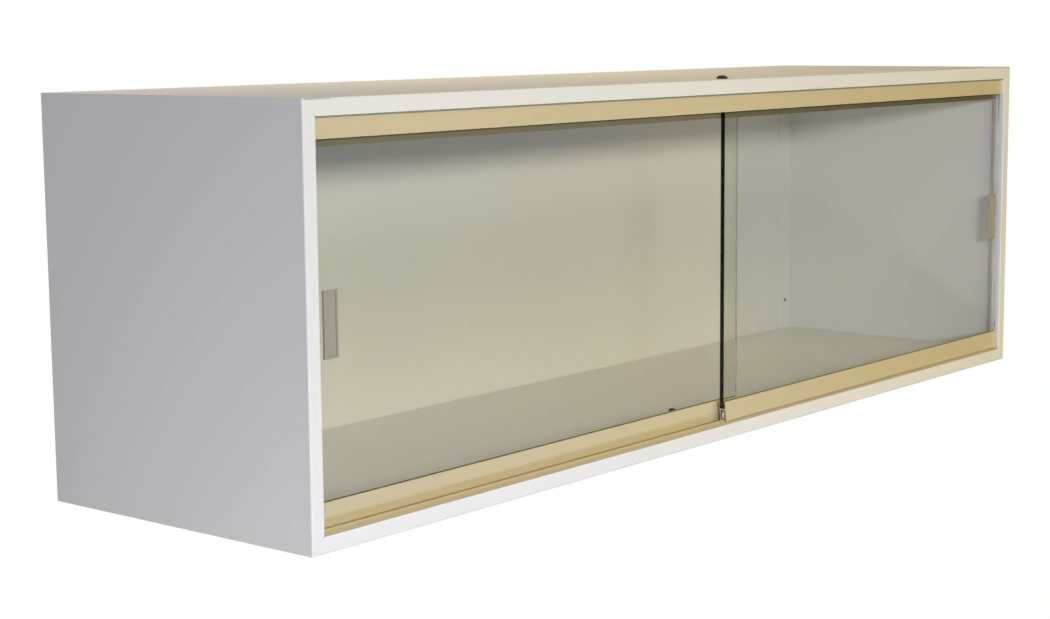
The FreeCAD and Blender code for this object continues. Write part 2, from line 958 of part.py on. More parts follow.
def finger_pull(doc, case, name, middle_x, glass_face):
    """A shallow rectangular cup, and the tape that holds it to the glass."""
    body = new_body(doc, f"{name}_finger_pull")
    half_width = case.pull_width / 2
    half_height = case.pull_height / 2
    front = glass_face - case.tape_thickness - case.pull_depth

    def plate(sketch, inset, rounding):
        across = half_width - inset
        rise = half_height - inset
        outline(
            sketch,
            (
                (-across, -rise, rounding),
                (across, -rise, rounding),
                (across, rise, rounding),
                (-across, rise, rounding),
            ),
        )

    sketch = new_sketch(body, "plate", "XZ_Plane")
    plate(sketch, as_size(0), case.wall)
    pad = body.newObject("PartDesign::Pad", f"{body.Name}_pad")
    pad.Profile = sketch
    drive(pad, "Length", case.pull_depth)

    def cup(inner_sketch):
        plate(inner_sketch, case.pull_rim, case.wall / 2)

    pocket(body, "cup", "XZ_Plane", case.pull_depth, cup, case.pull_depth - case.pull_floor)
    level = case.bottom + case.pull_level
    place(body, middle_x, front + case.pull_depth, level)

    tape = box(
        doc,
        f"{name}_pull_tape",
        case.pull_width - case.pull_rim * 2,
        case.tape_thickness,
        case.pull_height - case.pull_rim * 2,
        middle_x - half_width + case.pull_rim,
        glass_face - case.tape_thickness,
        level - half_height + case.pull_rim,
    )
    tape.Label = f"{name}_pull_tape"


def roller_bracket(doc, case, label, x, y):
    """An upturned channel inside the shoe whose ears hold the axle."""
    body = new_body(doc, label)
    outer = case.axle_length / 2
    inner = outer - case.bracket_wall
    head = case.bottom + case.glass_foot - case.strip_wall - case.track_wall
    foot = case.axle_level - case.axle_radius * 2
    pad_along_x(
        body,
        (
            (-outer, foot),
            (-inner, foot),
            (-inner, head - case.bracket_wall),
            (inner, head - case.bracket_wall),
            (inner, foot),
            (outer, foot),
            (outer, head),
            (-outer, head),
        ),
        case.bracket_length,
    )

    def axle_hole(sketch):
        circles(sketch, ((0, case.axle_level),), case.axle_radius)

    pocket(body, "axle_hole", "XZ_Plane", outer, axle_hole, case.axle_length)
    place(body, x, y)


def wheel(doc, case, label, x, y):
    """A grooved wheel, turned about its axle."""
    body = new_body(doc, label)
    sketch = new_sketch(body, "section", "YZ_Plane")
    bore = case.axle_radius + case.axle_clearance
    half = case.wheel_width / 2
    groove = case.rail_width / 2 + case.rolling_gap
    outline(
        sketch,
        (
            (-half, bore),
            (half, bore),
            (half, case.wheel_radius),
            (groove, case.wheel_radius),
            (groove, case.tread_radius),
            (-groove, case.tread_radius),
            (-groove, case.wheel_radius),
            (-half, case.wheel_radius),
        ),
    )
    spin = body.newObject("PartDesign::Revolution", f"{body.Name}_spin")
    spin.Profile = sketch
    spin.ReferenceAxis = (sketch, ["H_Axis"])
    spin.Angle = 360
    place(body, x, y, case.axle_level)


def axle(doc, case, label, x, y):
    """A plain pin across the roller bracket."""
    start = y - case.axle_length / 2
    turn = Rotation(Vector(1, 0, 0), -90)
    pin = cylinder(doc, label, case.axle_radius, case.axle_length, x, start, case.axle_level, turn)
    pin.Label = label


def door(doc, case, name, side, middle_x, middle_y):
    """One sliding door, with its pull near the jamb and a roller near each end."""
    glass(doc, case, name, middle_x, middle_y)
    shoe(doc, case, name, middle_x, middle_y, side > 0)
    glazing_strip(doc, case, name, middle_x, middle_y)
    reach = case.door_width / 2
    pull_x = middle_x + (reach - case.pull_inset - case.pull_width / 2) * side
    finger_pull(doc, case, name, pull_x, middle_y - case.glass_thickness / 2)
    for place_name, direction in (("outer", side), ("inner", -side)):
        roller_x = middle_x + (reach - case.roller_inset) * direction
        roller_bracket(doc, case, f"{name}_{place_name}_roller_bracket", roller_x, middle_y)
        wheel(doc, case, f"{name}_{place_name}_wheel", roller_x, middle_y)
        axle(doc, case, f"{name}_{place_name}_axle", roller_x, middle_y)


def doors(doc, case):
    """The left door runs in the rear track and the right door in the front track."""
    half = case.door_width / 2
    left_middle = case.left_door_gap - case.jamb_face + half
    right_middle = case.jamb_face - case.right_door_gap - half
    door(doc, case, "left", -1, left_middle, case.rear_glass)
    door(doc, case, "right", 1, right_middle, case.front_glass)


# Building and writing


def build(doc):
    case = Case(make_sheet(doc))
    top_panel(doc, case)
    bottom_panel(doc, case)
    for name, side in (("left", -1), ("right", 1)):
        side_panel(doc, case, name, side)
        corner_post(doc, case, name, side)
    back_panel(doc, case)
    post_rivets(doc, case)
    deck_panel(doc, case)
    header_channel(doc, case)
    hanging_rail(doc, case)
    upper_track(doc, case)
    lower_track(doc, case)
    both_track_screws(doc, case)
    door_bumpers(doc, case)
    plugs(doc, case)
    doors(doc, case)
    doc.recompute()


def sub_parts(doc):
    """Every body, compound and loose primitive that isn't used by another object."""
    kinds = ("PartDesign::Body", "Part::Compound", "Part::Box", "Part::Cylinder")
    found = [item for item in doc.Objects if item.TypeId in kinds]
    return [item for item in found if item.TypeId == "PartDesign::Body" or not item.InList]


def check(doc):
    """Stop on any object that failed, and on any sub-part without a sound shape."""
    for item in doc.Objects:
        if "Invalid" in item.State or "Error" in item.State:
            raise RuntimeError(f"{item.Label} failed: {item.State}")
    for item in sub_parts(doc):
        if item.Shape.isNull() or not item.Shape.isValid() or not item.Shape.Solids:
            raise RuntimeError(f"{item.Label} has no sound shape")


def export(doc):
    os.makedirs("parts", exist_ok=True)
    for item in sub_parts(doc):
        item.Shape.exportStep(f"parts/{item.Label}.step")


def main():
    doc = FreeCAD.newDocument("wall_showcase")
    build(doc)
    check(doc)
    export(doc)


main()
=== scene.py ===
"""Wall mounted showcase: finishes, small turned and moulded pieces, and a plain studio.

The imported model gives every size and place. Lengths are in metres, with +X to the right,
+Y back towards the wall and +Z up, and the origin on the wall plane.
"""

import math

import bmesh
import bpy
from bpy.props import FloatProperty, FloatVectorProperty, IntProperty, PointerProperty
from mathutils import Matrix, Vector


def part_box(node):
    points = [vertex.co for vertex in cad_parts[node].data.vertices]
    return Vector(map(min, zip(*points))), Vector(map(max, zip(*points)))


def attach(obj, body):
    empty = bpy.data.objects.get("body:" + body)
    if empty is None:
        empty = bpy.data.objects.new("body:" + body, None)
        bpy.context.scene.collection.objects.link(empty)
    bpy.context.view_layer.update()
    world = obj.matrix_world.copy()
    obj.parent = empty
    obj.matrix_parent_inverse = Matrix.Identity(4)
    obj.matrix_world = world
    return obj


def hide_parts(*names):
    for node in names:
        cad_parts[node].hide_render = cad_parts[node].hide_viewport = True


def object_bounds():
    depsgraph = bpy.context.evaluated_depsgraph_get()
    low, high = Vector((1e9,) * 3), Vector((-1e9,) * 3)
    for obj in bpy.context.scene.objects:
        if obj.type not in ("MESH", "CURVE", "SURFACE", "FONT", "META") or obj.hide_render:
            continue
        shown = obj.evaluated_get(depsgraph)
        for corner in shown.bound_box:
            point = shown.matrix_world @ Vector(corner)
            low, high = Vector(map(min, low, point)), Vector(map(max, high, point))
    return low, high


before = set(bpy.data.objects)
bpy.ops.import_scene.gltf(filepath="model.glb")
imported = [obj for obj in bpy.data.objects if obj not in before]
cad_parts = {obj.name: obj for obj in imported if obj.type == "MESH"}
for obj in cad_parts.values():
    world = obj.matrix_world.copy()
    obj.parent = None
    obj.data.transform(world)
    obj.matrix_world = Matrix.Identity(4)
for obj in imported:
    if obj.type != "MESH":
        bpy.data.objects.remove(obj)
CAD_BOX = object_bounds()

bl_info = {
    "name": "Wall mounted showcase",
    "version": (1, 0, 0),
    "blender": (4, 5, 0),
    "location": "3D View > Sidebar > Showcase",
    "description": "Finishes and detailed pieces for a glass-fronted wall showcase",
    "category": "Object",
}

MM = 0.001
# A Y depth past every piece, so that no painted shade is applied
NO_PAINTED_SHADE = 10.0
DOORS = ("left", "right")
DOOR_ENDS = ("outer", "inner")
PAINTED_NODES = (
    "top_panel",
    "bottom_panel",
    "left_side_panel",
    "right_side_panel",
    "back_panel",
    "deck_panel",
    "header_channel",
    "left_corner_post",
    "right_corner_post",
)
GOLD_NODES = ("lower_track", "left_shoe", "right_shoe")


def colour_property(name, description, default):
    return FloatVectorProperty(
        name=name, description=description, default=default, size=3, min=0.0, max=1.0, subtype="COLOR"
    )


def length_property(name, description, millimetres):
    return FloatProperty(
        name=name, description=description, default=millimetres * MM, min=0.0, unit="LENGTH", precision=5
    )


def share_property(name, description, default):
    return FloatProperty(
        name=name, description=description, default=default, min=0.0, max=1.0, subtype="FACTOR"
    )


class CoatingSettings(bpy.types.PropertyGroup):
    """Powder coat on the folded sheet."""

    colour: colour_property("Paint colour", "Base colour of the powder coat", (0.68, 0.68, 0.68))
    roughness: share_property("Roughness", "How satin the powder coat is", 0.38)
    grain: length_property("Grain", "Width of one ripple in the orange-peel texture", 1.6)
    speckle: share_property("Speckle", "Swing in brightness from one ripple to the next", 0.25)
    relief: share_property("Relief", "Strength of the orange-peel texture", 0.3)


class AnodisingSettings(bpy.types.PropertyGroup):
    """Anodised aluminium of the tracks, shoes and pulls."""

    gold: colour_property("Gold", "Colour of the tracks and shoes", (0.77, 0.67, 0.42))
    champagne: colour_property("Champagne", "Colour of the finger pulls", (0.47, 0.45, 0.36))
    roughness: share_property("Roughness", "How satin the anodised surface is", 0.38)
    metallic: share_property("Metallic", "Share of the light that the bare metal mirrors", 0.45)
    # Painted shade: the upper track's colour is darkened behind its front leg to stand in for the shadow
    # there
    painted_inner_shade: share_property(
        "Painted inner shade", "Brightness of the upper track behind its front leg", 0.35
    )
    streak: length_property("Streak", "Width of one extrusion line", 0.9)
    relief: share_property("Relief", "Strength of the extrusion lines", 0.06)


class GlassSettings(bpy.types.PropertyGroup):
    """Float glass of the doors."""

    tint: colour_property("Tint", "Colour of light that has passed the glass", (0.95, 0.96, 0.90))
    shade: colour_property(
        "Shade", "Colour of lamp light behind one face of the glass", (0.985, 0.985, 0.975)
    )
    edge: share_property("Edge", "Share of the lamp light that passes a ground edge", 0.1)
    bending: FloatProperty(name="IOR", description="Index of refraction", default=1.52, min=1.0, max=2.0)


class HardwareSettings(bpy.types.PropertyGroup):
    """Small turned, moulded and stamped pieces."""

    black: colour_property("Black", "Colour of the plugs", (0.018, 0.018, 0.018))
    rubber: colour_property("Rubber", "Colour of the pads and glazing strips", (0.022, 0.022, 0.024))
    nylon: colour_property("Nylon", "Colour of the wheels", (0.80, 0.79, 0.74))
    zinc: colour_property("Zinc", "Colour of the plated steel", (0.62, 0.62, 0.60))
    rim_rounding: length_property("Rim rounding", "Rounding of the finger pull's rim", 0.35)
    turn_steps: IntProperty(name="Turning steps", description="Steps in a turned piece", default=64, min=16)


class StudioSettings(bpy.types.PropertyGroup):
    """Floor, light and camera."""

    floor_drop: FloatProperty(
        name="Floor drop", description="Depth of the floor under the case", default=0.85, unit="LENGTH"
    )
    camera_place: FloatVectorProperty(
        name="Camera place", description="Where the camera stands", size=3, subtype="TRANSLATION",
        default=(-2.14376, -1.81884, 0.09051),
    )
    camera_yaw: FloatProperty(
        name="Camera yaw", description="Turn from the wall's direction towards the right",
        default=math.radians(50.590), subtype="ANGLE",
    )
    camera_pitch: FloatProperty(
        name="Camera pitch", description="Tilt below the horizon",
        default=math.radians(7.926), subtype="ANGLE",
    )
    camera_roll: FloatProperty(
        name="Camera roll", description="Roll about the line of sight",
        default=math.radians(0.500), subtype="ANGLE",
    )
    lens: FloatProperty(name="Lens", description="Focal length in millimetres", default=69.215)


SETTINGS = {
    "showcase_coating": CoatingSettings,
    "showcase_anodising": AnodisingSettings,
    "showcase_glass": GlassSettings,
    "showcase_hardware": HardwareSettings,
    "showcase_studio": StudioSettings,
}


# Shader helpers


def new_group(name, inputs, outputs):
    """An empty shader node group with named value inputs and named outputs."""
    group = bpy.data.node_groups.new(name, "ShaderNodeTree")
    for label, default in inputs:
        socket = group.interface.new_socket(name=label, in_out="INPUT", socket_type="NodeSocketFloat")
        socket.default_value = default
    for label in outputs:
        group.interface.new_socket(name=label, in_out="OUTPUT", socket_type="NodeSocketFloat")
    entry = group.nodes.new("NodeGroupInput")
    leave = group.nodes.new("NodeGroupOutput")
    return group, entry, leave


def add_node(tree, kind, **settings):
    """A node whose named properties or input sockets are set."""
    node = tree.nodes.new(kind)
    for key, value in settings.items():
        label = key.replace("_", " ").title()
        if hasattr(node, key):
            setattr(node, key, value)
        else:
            node.inputs[label].default_value = value
    return node


def math_node(tree, operation, first, second):
    """A Math node fed by sockets or plain numbers."""
    node = tree.nodes.new("ShaderNodeMath")
    node.operation = operation
    for index, value in enumerate((first, second)):
        if isinstance(value, bpy.types.NodeSocket):
            tree.links.new(value, node.inputs[index])
        else:
            node.inputs[index].default_value = value
    return node.outputs[0]


def range_node(tree, source, low, high, new_low, new_high):
    """A Map Range node with a smooth ramp."""
    node = tree.nodes.new("ShaderNodeMapRange")
    node.interpolation_type = "SMOOTHSTEP"
    tree.links.new(source, node.inputs["Value"])
    values = {"From Min": low, "From Max": high, "To Min": new_low, "To Max": new_high}
    for label, value in values.items():
        node.inputs[label].default_value = value
    return node.outputs["Result"]


def stretched_coordinates(tree, stretch):
    """Object coordinates, scaled unevenly so that a pattern runs along one axis."""
    place = tree.nodes.new("ShaderNodeTexCoord")
    mapping = tree.nodes.new("ShaderNodeMapping")
    mapping.inputs["Scale"].default_value = stretch
    tree.links.new(place.outputs["Object"], mapping.inputs["Vector"])
    return mapping.outputs["Vector"]


def noise(tree, vector, scale, detail=2.0, rough=0.5):
    """A noise texture whose scale is a number or a socket."""
    node = tree.nodes.new("ShaderNodeTexNoise")
    tree.links.new(vector, node.inputs["Vector"])
    if isinstance(scale, bpy.types.NodeSocket):
        tree.links.new(scale, node.inputs["Scale"])
    else:
        node.inputs["Scale"].default_value = scale
    node.inputs["Detail"].default_value = detail
    node.inputs["Roughness"].default_value = rough
    return node.outputs["Fac"]


def orange_peel_group():
    """Fine ripples, slow clouding and faint handling marks of sprayed powder."""
    group, entry, leave = new_group(
        "orange_peel",
        (("Ripples per metre", 600.0), ("Clouding", 0.03), ("Speckle", 0.2)),
        ("Shade", "Gloss", "Height"),
    )
    even = stretched_coordinates(group, (1.0, 1.0, 1.0))
    ripples = noise(group, even, entry.outputs["Ripples per metre"], 1.5)
    fine = math_node(group, "MULTIPLY", entry.outputs["Ripples per metre"], 3.1)
    grit = noise(group, even, fine, 1.0)
    clouds = noise(group, even, 3.2, 3.0, 0.6)
    smears = noise(group, stretched_coordinates(group, (1.0, 1.0, 3.5)), 9.0, 4.0, 0.65)
    swing = math_node(group, "SUBTRACT", clouds, 0.5)
    cloudy = math_node(group, "MULTIPLY_ADD", swing, entry.outputs["Clouding"])
    cloudy.node.inputs[2].default_value = 1.0
    fleck = math_node(group, "SUBTRACT", ripples, 0.5)
    shade = math_node(group, "MULTIPLY_ADD", fleck, entry.outputs["Speckle"])
    group.links.new(cloudy, shade.node.inputs[2])
    group.links.new(shade, leave.inputs["Shade"])
    group.links.new(range_node(group, smears, 0.42, 0.72, 0.0, 1.0), leave.inputs["Gloss"])
    height = math_node(group, "MULTIPLY_ADD", grit, 0.25)
    group.links.new(ripples, height.node.inputs[2])
    group.links.new(height, leave.inputs["Height"])
    return group


def extrusion_group():
    """Long die lines along X, with a soft sheen that varies from line to line, and painted shade: a darker
    colour past a given Y depth, standing in for shadow.
    """
    group, entry, leave = new_group(
        "extrusion_lines",
        (
            ("Lines per metre", 1100.0),
            ("Variation", 0.06),
            ("Painted shade past Y", NO_PAINTED_SHADE),
            ("Painted shade strength", 1.0),
        ),
        ("Shade", "Gloss", "Height"),
    )
    lines = stretched_coordinates(group, (0.006, 1.0, 1.0))
    fine = noise(group, lines, entry.outputs["Lines per metre"], 2.0, 0.6)
    broad = math_node(group, "MULTIPLY", entry.outputs["Lines per metre"], 0.22)
    coarse = noise(group, lines, broad, 2.0, 0.5)
    clouds = noise(group, stretched_coordinates(group, (0.5, 2.0, 2.0)), 4.0, 3.0, 0.6)
    swing = math_node(group, "SUBTRACT", coarse, 0.5)
    shade = math_node(group, "MULTIPLY_ADD", swing, entry.outputs["Variation"])
    shade.node.inputs[2].default_value = 1.0
    # Painted shade: past the given Y depth the colour is multiplied down, standing in for shadow
    place = group.nodes.new("ShaderNodeSeparateXYZ")
    group.links.new(stretched_coordinates(group, (1.0, 1.0, 1.0)), place.inputs["Vector"])
    behind = math_node(group, "GREATER_THAN", place.outputs["Y"], entry.outputs["Painted shade past Y"])
    painted_shade_multiplier = math_node(group, "POWER", entry.outputs["Painted shade strength"], behind)
    group.links.new(math_node(group, "MULTIPLY", shade, painted_shade_multiplier), leave.inputs["Shade"])
    group.links.new(range_node(group, clouds, 0.35, 0.7, 0.0, 1.0), leave.inputs["Gloss"])
    group.links.new(fine, leave.inputs["Height"])
    return group


def moulded_group():
    """Fine pitting and faint dust of moulded or rubber pieces."""
    group, entry, leave = new_group(
        "moulded_skin", (("Pits per metre", 2600.0), ("Dust", 0.15)), ("Shade", "Gloss", "Height")
    )
    even = stretched_coordinates(group, (1.0, 1.0, 1.0))
    pits = noise(group, even, entry.outputs["Pits per metre"], 2.0, 0.6)
    dust = range_node(group, noise(group, even, 120.0, 4.0, 0.7), 0.5, 0.8, 0.0, 1.0)
    shade = math_node(group, "MULTIPLY_ADD", dust, entry.outputs["Dust"])
    shade.node.inputs[2].default_value = 1.0
    group.links.new(shade, leave.inputs["Shade"])
    group.links.new(dust, leave.inputs["Gloss"])
    group.links.new(pits, leave.inputs["Height"])
    return group


GROUP_MAKERS = {
    "orange_peel": orange_peel_group,
    "extrusion_lines": extrusion_group,
    "moulded_skin": moulded_group,
}


def surface_group(name):
    """The named effect, built on first use."""
    return bpy.data.node_groups.get(name) or GROUP_MAKERS[name]()


def finish(name, colour, effect, values, metallic, roughness, gloss_swing, relief, depth):
    """A Principled material whose colour, roughness and relief come from one effect group.

    depth is the relief's real height in metres at full strength.
    """
    known = bpy.data.materials.get(name)
    if known:
        return known
    material = bpy.data.materials.new(name)
    material.use_nodes = True
    tree = material.node_tree
    shader = tree.nodes["Principled BSDF"]
    group = tree.nodes.new("ShaderNodeGroup")
    group.node_tree = surface_group(effect)
    for label, value in values.items():
        group.inputs[label].default_value = value
    tint = tree.nodes.new("ShaderNodeMix")
    tint.data_type = "RGBA"
    tint.blend_type = "MULTIPLY"
    tint.inputs["Factor"].default_value = 1.0
    tint.inputs["A"].default_value = (*colour, 1.0)
    tree.links.new(group.outputs["Shade"], tint.inputs["B"])
    tree.links.new(tint.outputs["Result"], shader.inputs["Base Color"])
    rough = range_node(tree, group.outputs["Gloss"], 0.0, 1.0, roughness, roughness + gloss_swing)
    tree.links.new(rough, shader.inputs["Roughness"])
    bump = tree.nodes.new("ShaderNodeBump")
    bump.inputs["Strength"].default_value = relief
    bump.inputs["Distance"].default_value = depth
    tree.links.new(group.outputs["Height"], bump.inputs["Height"])
    tree.links.new(bump.outputs["Normal"], shader.inputs["Normal"])
    shader.inputs["Metallic"].default_value = metallic
    return material


def powder_coat():
    settings = bpy.context.scene.showcase_coating
    values = {"Ripples per metre": 1.0 / settings.grain, "Clouding": 0.03, "Speckle": settings.speckle}
    return finish(
        "white_powder_coat", settings.colour, "orange_peel", values,
        0.0, settings.roughness, 0.06, settings.relief, 0.5 * MM,
    )


def anodised(name, colour, painted_shade_past_y=NO_PAINTED_SHADE):
    """Anodised extrusion; past the given Y depth its colour is darkened as painted shade."""
    settings = bpy.context.scene.showcase_anodising
    values = {
        "Lines per metre": 1.0 / settings.streak,
        "Variation": 0.08,
        # The last two values paint shade: a darker colour past the given Y depth
        "Painted shade past Y": painted_shade_past_y,
        "Painted shade strength": settings.painted_inner_shade,
    }
    return finish(
        name, colour, "extrusion_lines", values,
        settings.metallic, settings.roughness, 0.08, settings.relief, 0.3 * MM,
    )


def moulded(name, colour, roughness, dust=0.2):
    values = {"Pits per metre": 2600.0, "Dust": dust}
    return finish(name, colour, "moulded_skin", values, 0.0, roughness, 0.12, 0.15, 0.1 * MM)


def plated():
    settings = bpy.context.scene.showcase_hardware
    values = {"Lines per metre": 900.0, "Variation": 0.2}
    return finish(
        "zinc_plated_steel", settings.zinc, "extrusion_lines", values,
        1.0, 0.34, 0.12, 0.08, 0.2 * MM,
    )


def float_glass():
    """Clear glass that lets lamps through, so that the inside of the case is lit."""
    known = bpy.data.materials.get("float_glass")
    if known:
        return known
    settings = bpy.context.scene.showcase_glass
    material = bpy.data.materials.new("float_glass")
    material.use_nodes = True
    tree = material.node_tree
    shader = tree.nodes["Principled BSDF"]
    shader.inputs["Base Color"].default_value = (*settings.tint, 1.0)
    shader.inputs["Metallic"].default_value = 0.0
    shader.inputs["Roughness"].default_value = 0.0
    shader.inputs["IOR"].default_value = settings.bending
    shader.inputs["Transmission Weight"].default_value = 1.0
    clear = tree.nodes.new("ShaderNodeBsdfTransparent")
    turned = tree.nodes.new("ShaderNodeTexCoord")
    split = tree.nodes.new("ShaderNodeSeparateXYZ")
    tree.links.new(turned.outputs["Normal"], split.inputs["Vector"])
    facing = math_node(tree, "ABSOLUTE", split.outputs["X"], 0.0)
    sideways = math_node(tree, "GREATER_THAN", facing, 0.7)
    shade = tree.nodes.new("ShaderNodeMix")
    shade.data_type = "RGBA"
    tree.links.new(sideways, shade.inputs["Factor"])
    shade.inputs["A"].default_value = (*settings.shade, 1.0)
    shade.inputs["B"].default_value = (settings.edge, settings.edge, settings.edge, 1.0)
    tree.links.new(shade.outputs["Result"], clear.inputs["Color"])
    path = tree.nodes.new("ShaderNodeLightPath")
    unseen = math_node(tree, "MAXIMUM", path.outputs["Is Shadow Ray"], path.outputs["Is Diffuse Ray"])
    mix = tree.nodes.new("ShaderNodeMixShader")
    tree.links.new(unseen, mix.inputs["Fac"])
    tree.links.new(shader.outputs["BSDF"], mix.inputs[1])
    tree.links.new(clear.outputs["BSDF"], mix.inputs[2])
    output = tree.nodes["Material Output"]
    tree.links.new(mix.outputs["Shader"], output.inputs["Surface"])
    return material


# Mesh helpers


def dress(node, material):
    """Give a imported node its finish."""
    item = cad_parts[node]
    item.data.materials.clear()
    item.data.materials.append(material)


def finish_piece(shape, name, body, material, replaced, sharp=35.0):
    """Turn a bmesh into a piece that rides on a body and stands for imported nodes."""
    bmesh.ops.remove_doubles(shape, verts=shape.verts, dist=0.001 * MM)
    bmesh.ops.recalc_face_normals(shape, faces=shape.faces)
    mesh = bpy.data.meshes.new(name)
    shape.to_mesh(mesh)
    shape.free()
    mesh.polygons.foreach_set("use_smooth", [True] * len(mesh.polygons))
    mesh.set_sharp_from_angle(angle=math.radians(sharp))
    mesh.materials.append(material)
    piece = bpy.data.objects.new(name, mesh)
    bpy.context.scene.collection.objects.link(piece)
    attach(piece, body)
    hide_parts(*replaced)
    return piece


def turn_profile(shape, profile, place, axis, steps):
    """Spin (radius, height) points about an axis through place, and close the solid.

    axis is the direction in which the profile's heights run.
    """
    axis = Vector(axis)
    side = axis.orthogonal().normalized()
    verts = [shape.verts.new(place + side * radius + axis * height) for radius, height in profile]
    edges = [shape.edges.new(pair) for pair in zip(verts, verts[1:])]
    bmesh.ops.spin(
        shape, geom=verts + edges, cent=place, axis=axis, angle=math.tau, steps=steps, use_merge=True
    )
    bmesh.ops.remove_doubles(shape, verts=shape.verts, dist=0.001 * MM)


def rounded(points, radius, steps=4):
    """A profile with each inner corner replaced by a short arc-like run of points."""
    smooth = [points[0]]
    for before, corner, after in zip(points, points[1:], points[2:]):
        before, corner, after = Vector(before), Vector(corner), Vector(after)
        reach = min(radius, (before - corner).length / 2, (after - corner).length / 2)
        start = corner + (before - corner).normalized() * reach
        end = corner + (after - corner).normalized() * reach
        for step in range(steps + 1):
            share = step / steps
            first = start.lerp(corner, share)
            second = corner.lerp(end, share)
            smooth.append(tuple(first.lerp(second, share)))
    smooth.append(points[-1])
    return smooth


def block(shape, low, high):
    """A box between two corners, and its faces."""
    made = bmesh.ops.create_cube(shape, size=1.0)
    bmesh.ops.scale(shape, vec=high - low, verts=made["verts"])
    bmesh.ops.translate(shape, vec=(low + high) / 2, verts=made["verts"])
    return made["verts"]


def soften(shape, edges, width, segments=3):
    """Round the given edges."""
    return bmesh.ops.bevel(
        shape, geom=edges, offset=width, offset_type="OFFSET", segments=segments,
        profile=0.5, affect="EDGES", material=-1,
    )


def edges_along(verts, axis):
    """The edges among verts that run along an axis."""
    chosen = set()
    for vert in verts:
        for edge in vert.link_edges:
            run = edge.verts[1].co - edge.verts[0].co
            if abs(run[axis]) > 0.999 * run.length:
                chosen.add(edge)
    return list(chosen)


# Operators


class SHOWCASE_OT_case(bpy.types.Operator):
    """Coat the folded sheet of the case"""

    bl_idname = "showcase.case"
    bl_label = "Case panels"

    def execute(self, context):
        for node in PAINTED_NODES:
            dress(node, powder_coat())
        dress("hanging_rail", plated())
        return {"FINISHED"}


class SHOWCASE_OT_tracks(bpy.types.Operator):
    """Anodise the tracks and the shoes"""

    bl_idname = "showcase.tracks"
    bl_label = "Tracks and shoes"

    def execute(self, context):
        colour = context.scene.showcase_anodising.gold
        for node in GOLD_NODES:
            dress(node, anodised("gold_anodising", colour))
        # The upper track's rear leg gets painted shade: its colour is darkened behind the front leg,
        # standing in for the shadow there
        behind_front_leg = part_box("upper_track")[0].y + 3.0 * MM
        dress("upper_track", anodised("gold_with_painted_shade", colour, behind_front_leg))
        return {"FINISHED"}


class SHOWCASE_OT_doors(bpy.types.Operator):
    """Glaze the doors and line their shoes"""

    bl_idname = "showcase.doors"
    bl_label = "Door glass"

    def execute(self, context):
        vinyl = moulded("dark_vinyl", context.scene.showcase_hardware.rubber, 0.55)
        for door in DOORS:
            dress(f"{door}_glass", float_glass())
            dress(f"{door}_glazing_strip", vinyl)
            dress(f"{door}_pull_tape", vinyl)
        return {"FINISHED"}


class SHOWCASE_OT_pulls(bpy.types.Operator):
    """Make the cupped finger pulls"""

    bl_idname = "showcase.pulls"
    bl_label = "Finger pulls"

    def execute(self, context):
        champagne = anodised("champagne_anodising", context.scene.showcase_anodising.champagne)
        for door in DOORS:
            node = f"{door}_finger_pull"
            shape = bmesh.new()
            self.cup(shape, *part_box(node), context.scene.showcase_hardware.rim_rounding)
            finish_piece(
                shape, f"{door}_pull_cup", f"{door}_door", champagne, [node], 50.0
            )
        return {"FINISHED"}

    def cup(self, shape, low, high, rounding):
        """A plate whose front is sunk inside a raised rim."""
        rim_width, cup_depth, corner = 2.0 * MM, 1.8 * MM, 0.5 * MM
        block(shape, low, high)
        shape.normal_update()
        front = min(shape.faces, key=lambda face: face.calc_center_median().y)
        bmesh.ops.inset_region(shape, faces=[front], thickness=rim_width, use_even_offset=True)
        sunk = bmesh.ops.extrude_discrete_faces(shape, faces=[front])
        bmesh.ops.translate(shape, vec=Vector((0, cup_depth, 0)), verts=sunk["faces"][0].verts)
        soften(shape, edges_along(shape.verts, 1), corner, 3)
        shape.normal_update()
        level = low.y + 0.01 * MM
        rim = [
            edge for edge in shape.edges
            if all(vert.co.y < level for vert in edge.verts) and edge.calc_face_angle(0.0) > 1.0
        ]
        soften(shape, rim, rounding, 3)


class SHOWCASE_OT_plugs(bpy.types.Operator):
    """Turn the domed plugs of the top and the deck"""

    bl_idname = "showcase.plugs"
    bl_label = "Domed plugs"

    def execute(self, context):
        hardware = context.scene.showcase_hardware
        black = moulded("black_plastic", hardware.black, 0.38)
        for node, flange, height in (
            ("top_cap", 1.0 * MM, 4.5 * MM),
            ("deck_plug", 0.7 * MM, 3.0 * MM),
        ):
            low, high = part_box(node)
            middle = (low + high) / 2
            radius = (high.x - low.x) / 2
            sill = high.z - height
            rise = high.z - sill
            dome = [(0.0, rise)]
            steps = 12
            for step in range(1, steps + 1):
                turn = math.pi / 2 * step / steps
                dome.append((radius * math.sin(turn), flange + (rise - flange) * math.cos(turn)))
            profile = dome + [
                (radius, 0.0),
                (radius - 1.2 * MM, 0.0),
                (radius - 1.3 * MM, low.z - sill),
                (0.0, low.z - sill),
            ]
            shape = bmesh.new()
            place = Vector((middle.x, middle.y, sill))
            turn_profile(shape, profile, place, (0, 0, 1), hardware.turn_steps)
            finish_piece(shape, f"{node}_dome", "case", black, [node])
        return {"FINISHED"}


